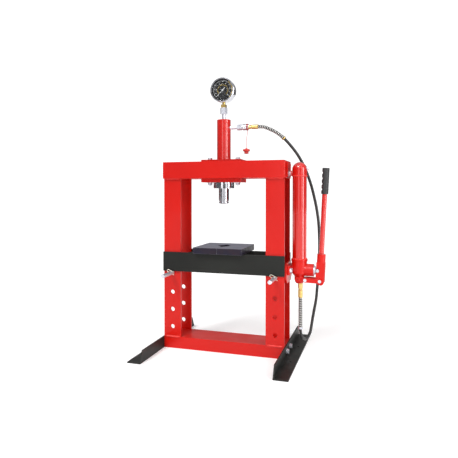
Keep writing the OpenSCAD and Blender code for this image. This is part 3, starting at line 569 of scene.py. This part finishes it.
def numerals(name, labels, radius, height, material):
    """Upright figures round the dial, each a flat text made a mesh and set in its place."""
    points, faces = [], []
    for label, turn in labels:
        curve = bpy.data.curves.new(name, "FONT")
        curve.body, curve.size = label, height
        curve.align_x, curve.align_y = "CENTER", "CENTER"
        curve.resolution_u = 3
        holder = bpy.data.objects.new(name, curve)
        flat = bpy.data.meshes.new_from_object(holder)
        co = np.empty(len(flat.vertices) * 3)
        flat.vertices.foreach_get("co", co)
        co = co.reshape(-1, 3)
        centre = on_dial(radius, np.array([turn]))[0]
        start = sum(len(part) for part in points)
        points.append(np.stack([co[:, 0] + centre[0], np.full(len(co), centre[1]),
                                co[:, 1] + centre[2]], -1))
        faces += [[start + index for index in polygon.vertices] for polygon in flat.polygons]
        bpy.data.objects.remove(holder)
        bpy.data.meshes.remove(flat)
    put_on_dial(name, np.concatenate(points), faces, material)


numerals("dial_numerals", [(str(2 * n), -sweep + 2 * sweep * n / 5) for n in range(6)], scale_r - 0.0108,
         0.0085, white_ink)

glass, glass_tree, glass_shader = new_material("gauge_glass", {"Transmission Weight": 1.0, "IOR": 1.12,
                                                               "Base Color": (0.98, 0.99, 1.0, 1.0)})
glass_place = add(glass_tree, "ShaderNodeTexCoord")
glass_haze = noise_over(glass_tree, glass_place, 60.0, 5.0)
glass_tree.links.new(spread(glass_tree, glass_haze.outputs["Fac"], 0.0, 0.03, 0.5, 0.9),
                     glass_shader.inputs["Roughness"])
dress(glass, "gauge_window")

screw_r = 0.0016
for side_name, turn in (("left", 187.0), ("right", 173.0)):
    centre = on_dial(dial_r * 0.82, np.array([turn]))[0]
    s = np.linspace(0.0, 1.0, 9)[:, None]
    a = np.linspace(0.0, 2 * np.pi, 16, endpoint=False)[None, :]
    dome_r = screw_r * np.cos(s * np.pi / 2 * 0.98)
    head = np.stack([centre[0] + dome_r * np.cos(a), centre[1] - 0.0007 * np.sin(s * np.pi / 2) + 0 * a,
                     centre[2] + dome_r * np.sin(a)], -1)
    surface(f"dial_screw_{side_name}", head, zinc, "frame")

# ---- Hose port and coupler ----
# A zinc nipple and hexagon in the cylinder's side, then a quick coupler with a knurled sleeve
# that slides back to let the hose go. A moulded red ring holds the dust plug's cord.

dress(zinc, "port_fitting")
coupler_chrome = turned_chrome("coupler_chrome", (0.66, 0.66, 0.70), 0.14, 0, middle("coupler_body"))
dress(coupler_chrome, "coupler_body", "coupler_sleeve")
red_plastic = moulded("red_plastic", (0.36, 0.014, 0.010), 0.3, 900.0, 0.00006)
dress(red_plastic, "dust_plug")


def smooth_route(points, count):
    """count points on the Catmull-Rom curve through the route, the same curve as the solid's."""
    p = np.asarray(points, float) / 1000.0
    last = len(p) - 1
    s = np.linspace(0.0, last, count)
    i = np.minimum(s.astype(int), last - 1)
    t = (s - i)[:, None]
    a, b, c, d = p[np.maximum(i - 1, 0)], p[i], p[i + 1], p[np.minimum(i + 2, last)]
    return 0.5 * (2 * b + (c - a) * t + (2 * a - 5 * b + 4 * c - d) * t ** 2
                  + (3 * b - a - 3 * c + d) * t ** 3)


def across_route(line):
    """For each point of a line, two unit vectors square to it. None of the lines runs along Y."""
    tangent = unit(np.gradient(line, axis=0))
    side = unit(np.cross(tangent, [0.0, 1.0, 0.0]))
    return side, np.cross(tangent, side)


def round_cord(name, line, radius, sides, material, body):
    """A tube whose radius, one number or one for each point, is carried along a line."""
    side, up = across_route(line)
    a = np.linspace(0.0, 2 * np.pi, sides, endpoint=False)[None, :, None]
    spoke = np.cos(a) * side[:, None] + np.sin(a) * up[:, None]
    grid = line[:, None] + np.broadcast_to(radius, len(line))[:, None, None] * spoke
    return surface(name, grid, material, body)


TETHER = [[92, 0, 922], [92, 0, 917], [91, 1, 912], [90, 2, 907], [89, 3, 902], [88, 3, 897], [87, 3, 892],
          [86, 3, 887], [86, 3, 882], [86, 2, 877], [86, 2, 871], [87, 1, 865], [87, 1, 859], [87, 0, 853],
          [87, 0, 848]]
tether_d = 0.002
tether_line = smooth_route(TETHER, 160)
tether_run = run_of(tether_line)
beads = tether_d / 2 * (0.82 + 0.18 * np.abs(np.sin(np.pi * tether_run / 0.0024)))
tether = round_cord("dust_plug_cord", tether_line, beads, 12, red_plastic, "frame")
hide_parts("dust_plug_tether")

# ---- Hose ----
# Two-ply rubber hydraulic hose with crimped brass ferrules and a wound wire guard at each end.
# The cover is black and cloth-wrapped when it is cured, so it keeps a faint weave.

HOSE = [[138, 0, 936], [159, 1, 935], [185, 5, 925], [212, 11, 911], [237, 18, 891], [257, 26, 870],
        [273, 34, 850], [289, 42, 828], [304, 49, 803], [321, 54, 769], [336, 58, 731], [349, 62, 690],
        [360, 66, 645], [370, 70, 595], [377, 75, 540], [380, 80, 480], [380, 84, 415], [377, 87, 345],
        [372, 89, 280], [366, 92, 215], [358, 94, 170], [351, 95, 130], [346, 92, 96], [342, 81, 73],
        [331, 47, 58], [319, 14, 73], [314, 0, 108], [314, 0, 140], [314, 0, 175], [314, 0, 210],
        [314, 0, 238]]
hose_d = 0.012
hose_line = smooth_route(HOSE, 900)
hose_run = run_of(hose_line)


def wrapped_cover(name):
    """Black rubber with a cloth impression: two crossed waves over the hose's own length and turn."""
    material, tree, shader = new_material(name, {"IOR": 1.5})
    turns = add(tree, "ShaderNodeUVMap", uv_map="cover")
    place = add(tree, "ShaderNodeTexCoord")
    slow = noise_over(tree, place, 30.0, 5.0)
    threads = []
    for lean in (0.6, -0.6):
        leaned = add(tree, "ShaderNodeMapping", {0: turns.outputs[0], 2: (0.0, 0.0, lean)})
        threads.append(add(tree, "ShaderNodeTexWave", {0: leaned.outputs[0], 1: 260.0, 2: 1.0, 3: 1.0}))
    weave = add(tree, "ShaderNodeMath", {0: threads[0].outputs["Fac"], 1: threads[1].outputs["Fac"]},
                operation="MULTIPLY")
    tone = blend_colour(tree, spread(tree, slow.outputs["Fac"], 0.0, 1.0, 0.4, 0.75), (0.011, 0.011, 0.012),
                        (0.030, 0.029, 0.028))
    tree.links.new(tone, shader.inputs["Base Color"])
    tree.links.new(spread(tree, slow.outputs["Fac"], 0.34, 0.5, 0.3, 0.8), shader.inputs["Roughness"])
    bump = add(tree, "ShaderNodeBump", {"Height": weave.outputs[0], "Strength": 0.25, "Distance": 0.0001})
    tree.links.new(bump.outputs["Normal"], shader.inputs["Normal"])
    return material


def lay_out(made, rows, sides, run, radius):
    """Gives a tube a UV map in metres: its run one way and the way round it the other."""
    layer = made.data.uv_layers.new(name="cover")
    corner_points = np.empty(len(made.data.loops), int)
    made.data.loops.foreach_get("vertex_index", corner_points)
    row, turn = corner_points // sides, corner_points % sides
    around = turn / sides * 2 * np.pi * radius
    layer.data.foreach_set("uv", np.stack([run[row], around], -1).ravel())


hose_sides = 28
hose = round_cord("hose_cover", hose_line, hose_d / 2, hose_sides, wrapped_cover("hose_rubber"), "frame")
lay_out(hose, len(hose_line), hose_sides, hose_run, hose_d / 2)
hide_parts("hose")


def wire_guard(name, line, coil_r, wire_r, pitch, material):
    """A close-wound spring over the hose: a round wire whose centre circles the line once in each pitch."""
    run = run_of(line)
    turns = run[-1] / pitch
    s = np.linspace(0.0, run[-1], int(turns * 20))
    core = between(s, run, line)
    side, up = across_route(core)
    turn = 2 * np.pi * s / pitch
    out = np.cos(turn)[:, None] * side + np.sin(turn)[:, None] * up
    centre = core + coil_r * out
    square = np.cross(unit(np.gradient(centre, axis=0)), out)
    a = np.linspace(0.0, 2 * np.pi, 8, endpoint=False)[None, :, None]
    grid = centre[:, None] + wire_r * (np.cos(a) * out[:, None] + np.sin(a) * square[:, None])
    return surface(name, grid, material, "frame")


guard_wire = plated("spring_wire", (0.78, 0.77, 0.75), (0.52, 0.50, 0.48), 0.3, cloud=220.0, radius=0.0003)
wire_r, guard_pitch, guard_gap = 0.0015, 0.0072, 0.0002
guard_coil_r = hose_d / 2 + wire_r + guard_gap
route_place = np.arange(len(hose_line)) / (len(hose_line) - 1) * (len(HOSE) - 1)
upper_span = hose_line[(route_place > 0.15) & (route_place < 4.25)]
low_x, low_z = HOSE[-1][0] / 1000.0, HOSE[-1][2] / 1000.0
lower_span = np.stack([np.full(200, low_x), np.zeros(200), np.linspace(0.1095, low_z - 0.0025, 200)], -1)
guards = [wire_guard("hose_guard_" + end, span, guard_coil_r, wire_r, guard_pitch, guard_wire)
          for end, span in (("upper", upper_span), ("lower", lower_span))]


def end_sleeve(name, centre, forward, radius, length, material):
    """The small rolled cup at the loose end of a guard: a profile turned about the hose's line."""
    bore_r = 0.0064
    profile = np.array([[0.0, bore_r], [0.0, 0.92 * radius], [0.1, radius], [0.75, radius],
                        [0.9, 0.93 * radius], [1.0, bore_r]])
    forward = np.array(forward, float) / np.linalg.norm(forward)
    side = np.cross(forward, [0.0, 1.0, 0.0])
    side /= np.linalg.norm(side)
    up = np.cross(forward, side)
    a = np.linspace(0.0, 2 * np.pi, 32, endpoint=False)[None, :, None]
    spoke = np.cos(a) * side + np.sin(a) * up
    ahead, out = profile[:, 0] * length, profile[:, 1]
    grid = np.array(centre) + ahead[:, None, None] * forward + out[:, None, None] * spoke
    return surface(name, grid, material, "frame")


upper_turn = upper_span[-1] - upper_span[-2]
cups = [end_sleeve("guard_cup_upper", upper_span[-1] - 0.004 * upper_turn / np.linalg.norm(upper_turn),
                   upper_turn, 0.0093, 0.006, brass),
        end_sleeve("guard_cup_lower", (low_x, 0.0, 0.1165), (0, 0, -1), 0.0093, 0.0075, zinc)]
for guard in guards:
    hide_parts("hose_guards")
dress(brass, "hose_ferrules")

# ---- Bed ----
# Two flat plates with spacers between them rest on the pins. They are sprayed satin black, with
# no badge. Pins are zinc-plated bar, each kept by a bent spring clip.

dress(black_paint, "bed_plates", "bed_spacers")
dress(zinc, "bed_pin_left", "bed_pin_right")
clip_metal = plated("passivated_wire", (0.82, 0.74, 0.55), (0.70, 0.66, 0.62), 0.2, cloud=240.0,
                    radius=0.0002)
dress(clip_metal, "pin_clip_left", "pin_clip_right")

# ---- Press plates ----
# Two loose blocks of thick steel with a V notch each, with faint cutter arcs. Faces that look up are drawn
# slate grey and metallic as painted light from above; faces that look sideways are near-black violet,
# partly the steel's own colour and partly painted shade.


def blued_steel(name):
    """Slate grey metallic tops over near-black violet sides, split by which way each face looks as painted
    light and painted shade; cutter arcs as a ring wave about a far centre, and stains of oil.
    """
    material, tree, shader = new_material(name, {"IOR": 1.5, "Specular IOR Level": 0.2})
    place = add(tree, "ShaderNodeTexCoord")
    far = add(tree, "ShaderNodeMapping", {0: place.outputs["Object"], 1: (0.4, 0.9, 0.0)})
    arcs = add(tree, "ShaderNodeTexWave", {0: far.outputs[0], 1: 210.0, 2: 0.6, 3: 2.0}, wave_type="RINGS",
               rings_direction="Z")
    stain = noise_over(tree, place, 26.0, 6.0, 0.6)
    wear = use(tree, EDGE_HIGHLIGHT_AND_WEAR, {"Width": 0.0016, "Grain": 150.0, "Cover": 0.45})
    facing = add(tree, "ShaderNodeNewGeometry")
    split = add(tree, "ShaderNodeSeparateXYZ", {0: facing.outputs["Normal"]})
    # Faces that look up get the slate grey top colour and turn metallic, a painted light from above; the
    # others keep the near-black violet side colour, which is partly the steel's own colour and partly
    # painted shade.
    faces_up = spread(tree, split.outputs["Z"], 0.0, 1.0, 0.6, 0.95)
    blotch = spread(tree, stain.outputs["Fac"], 0.0, 1.0, 0.35, 0.7)
    top = blend_colour(tree, blotch, (0.30, 0.31, 0.38), (0.22, 0.22, 0.29))
    scale = blend_colour(tree, blotch, (0.012, 0.011, 0.026), (0.022, 0.013, 0.020))
    tone = blend_colour(tree, faces_up, scale, top)
    edged = blend_colour(tree, spread(tree, wear.outputs["Edge"], 0.0, 0.5), tone, (0.34, 0.35, 0.40))
    tree.links.new(edged, shader.inputs["Base Color"])
    tree.links.new(spread(tree, faces_up, 0.0, 0.75), shader.inputs["Metallic"])
    tree.links.new(spread(tree, stain.outputs["Fac"], 0.34, 0.5, 0.3, 0.75), shader.inputs["Roughness"])
    rough_normal(tree, shader, arcs.outputs["Fac"], 0.12, 0.00006, 0.0009)
    return material


dress(blued_steel("blued_steel"), "press_plate_left", "press_plate_right")

# ---- Pump ----
# A cast body on a bracket, a long reservoir tube welded into it, and a domed cap held to the head
# by a stud. All are painted red after assembly, bolts and plug apart.

dress(red_paint, "pump_brackets", "pump_body", "release_valve")
dress(tube_paint, "pump_tank", "pump_cap")
dress(zinc, "pump_bolts", "pump_stud", "filler_plug", "pump_gland")
dress(coupler_chrome, "pump_plunger")
pump_axis = middle("pump_tank")
tank_low, tank_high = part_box("pump_tank")
tank_r = (tank_high.x - tank_low.x) / 2
cap_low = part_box("pump_cap")[0]
tank_weld_w, tank_weld_h = 0.0065, 0.0028


def ring_path(x, y, z, radius, count=72):
    """A level circle as a path that ends where it starts, with its outward directions."""
    a = np.linspace(0.0, 2 * np.pi, count)
    out = np.stack([np.cos(a), np.sin(a), np.zeros_like(a)], -1)
    return np.array([x, y, z]) + radius * out, out


for ring_name, z, slope in (("tank_foot_weld", tank_low.z + 0.0005, 0.9),
                            ("tank_cap_weld", cap_low.z, -0.9)):
    ring, outward = ring_path(pump_axis[0], pump_axis[1], z, tank_r)
    outward[:, 2] = slope
    weld_bead(ring_name, ring, outward, tank_weld_w, tank_weld_h, closed=True)

# ---- Lever ----
# A folded socket between two links, with a tube pressed into it and a ribbed rubber grip. Pins
# are zinc, with washed heads. The grip has four finger scallops on its inner side.

dress(red_paint, "lever_links", "lever_socket")
dress(tube_paint, "lever_tube")
dress(zinc, "lever_pins")
grip_low, grip_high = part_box("lever_grip")


def hand_grip(name):
    """A grip turned about the lever's line.

    The radius is a steady one, less four scallops on the side towards the frame, less a fine rib wave all
    the way round, and it rolls over at both ends.
    """
    lean = np.radians(2.8)
    forward = np.array([np.sin(lean), 0.0, np.cos(lean)])
    across = np.array([np.cos(lean), 0.0, -np.sin(lean)])
    back = np.array([0.0, 1.0, 0.0])
    outer = (grip_high.y - grip_low.y) / 2
    length, end_roll = 0.104, 0.003
    first_finger, finger_pitch, finger_depth = 0.018, 0.022, 0.0028
    rib_pitch, rib_depth = 0.0032, 0.00035
    top = np.array([grip_high.x, 0.0, grip_high.z]) - outer * across
    base = top - length * forward
    s = np.linspace(0.0, length, 240)[:, None]
    a = np.linspace(0.0, 2 * np.pi, 48, endpoint=False)[None, :]
    inward = np.clip(-np.cos(a), 0.0, 1.0) ** 1.5
    fingers = np.clip(np.cos(2 * np.pi * (s - first_finger) / finger_pitch), 0.0, 1.0)
    scallop = fingers * (s > 0.009) * (s < 0.095)
    ribs = rib_depth * (0.5 + 0.5 * np.cos(2 * np.pi * s / rib_pitch))
    near_end = np.clip(np.minimum(s, length - s) / end_roll, 0.0, 1.0)
    round_end = np.sqrt(np.clip(1 - (1 - near_end) ** 2, 0.0, 1.0))
    r = (outer - 0.0001 - ribs - finger_depth * scallop * inward) * (0.86 + 0.14 * round_end)
    grid = base + s[..., None] * forward
    grid = grid + (r * np.cos(a))[..., None] * across + (r * np.sin(a))[..., None] * back
    return surface(name, grid, rubber, "lever")


grip = hand_grip("lever_hand_grip")
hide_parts("lever_grip")

# ---- Floor, light and camera ----
# A plain pale floor and a grey surround with two tall white panels at the front, which draw the
# bright lines down the tubes. The key light comes from the upper left, with a fill on the right.

floor_size = 14.0
floor_mesh = bpy.data.meshes.new("floor")
floor_corners = [(x * floor_size, y * floor_size, 0) for x, y in ((-1, -1), (1, -1), (1, 1), (-1, 1))]
floor_mesh.from_pydata(floor_corners, [], [(0, 1, 2, 3)])
floor_material, floor_tree, floor_shader = new_material("pale_floor", {
    "Roughness": 0.9, "IOR": 1.05, "Emission Strength": 0.16, "Emission Color": (1, 1, 1, 1)})
floor_place = add(floor_tree, "ShaderNodeTexCoord")
floor_noise = noise_over(floor_tree, floor_place, 3.0)
floor_tone = blend_colour(floor_tree, floor_noise.outputs["Fac"], (0.96, 0.96, 0.96), (0.99, 0.99, 0.99))
floor_tree.links.new(floor_tone, floor_shader.inputs["Base Color"])
floor_mesh.materials.append(floor_material)
floor = bpy.data.objects.new("floor", floor_mesh)
bpy.context.scene.collection.objects.link(floor)

world = bpy.data.worlds.new("studio")
bpy.context.scene.world = world
world.use_nodes = True
world_tree = world.node_tree
sky = world_tree.nodes["Background"]
sky.inputs["Color"].default_value = (1.0, 1.0, 1.0, 1.0)
sky_place = add(world_tree, "ShaderNodeTexCoord")
level = add(world_tree, "ShaderNodeVectorMath", {0: sky_place.outputs["Generated"], 1: (1.0, 1.0, 0.0)},
            operation="MULTIPLY")
heading = add(world_tree, "ShaderNodeVectorMath", {0: level.outputs[0]}, operation="NORMALIZE")


def towards(angle, inner, outer):
    """High near a heading, in degrees to the right of straight ahead, fading from inner to outer."""
    a = np.radians(angle)
    near = add(world_tree, "ShaderNodeVectorMath", {0: heading.outputs[0], 1: (np.sin(a), -np.cos(a), 0.0)},
               operation="DOT_PRODUCT")
    start, stop = np.cos(np.radians([outer, inner]))
    return spread(world_tree, near.outputs["Value"], 0.0, 1.0, start, stop)


sky_split = add(world_tree, "ShaderNodeSeparateXYZ", {0: sky_place.outputs["Generated"]})
walls = spread(world_tree, sky_split.outputs["Z"], 0.1, 0.78, 0.0, 0.9)
panels = add(world_tree, "ShaderNodeMath", {0: towards(-3.0, 7.0, 10.0), 1: towards(41.0, 6.0, 9.0)},
             operation="ADD")
panel_light = spread(world_tree, panels.outputs[0], 0.0, 2.0)
strength = add(world_tree, "ShaderNodeMath", {0: walls, 1: panel_light}, operation="ADD")
world_tree.links.new(strength.outputs[0], sky.inputs["Strength"])
seen = add(world_tree, "ShaderNodeBackground", {"Color": (1.0, 1.0, 1.0, 1.0), "Strength": 1.2})
rays = add(world_tree, "ShaderNodeLightPath")
choice = add(world_tree, "ShaderNodeMixShader", {0: rays.outputs["Is Camera Ray"], 1: sky.outputs[0],
                                                 2: seen.outputs[0]})
world_tree.links.new(choice.outputs[0], world_tree.nodes["World Output"].inputs["Surface"])


def aim(made, place, target):
    """Stands a lamp at a place, turned towards a point, and puts it in the scene."""
    made.location = place
    made.rotation_euler = (Vector(target) - Vector(place)).to_track_quat("-Z", "Y").to_euler()
    bpy.context.scene.collection.objects.link(made)


def soft_light(name, place, target, width, height, power):
    """A rectangular light turned towards a point."""
    data = bpy.data.lights.new(name, "AREA")
    data.shape, data.size, data.size_y, data.energy = "RECTANGLE", width, height, power
    aim(bpy.data.objects.new(name, data), place, target)


key = bpy.data.lights.new("key", "SUN")
key.energy, key.angle = 1.3, np.radians(14.0)
aim(bpy.data.objects.new("key", key), (-0.9, -2.5, 3.0), (0.0, 0.0, 0.4))
soft_light("fill_right", (2.6, -0.9, 1.0), (0.1, 0.0, 0.6), 0.5, 2.2, 34.0)

camera_data = bpy.data.cameras.new("camera")
camera_data.sensor_width = 36.0
camera_data.lens = 37.44
camera_data.shift_y = -0.0633
camera = bpy.data.objects.new("camera", camera_data)
camera.location = (0.61266, -1.92446, 0.66181)
camera.rotation_euler = (np.radians(90 - 0.86), 0.0, np.radians(17.37))
bpy.context.scene.collection.objects.link(camera)
bpy.context.scene.camera = camera
bpy.context.scene.view_settings.view_transform = "Standard"
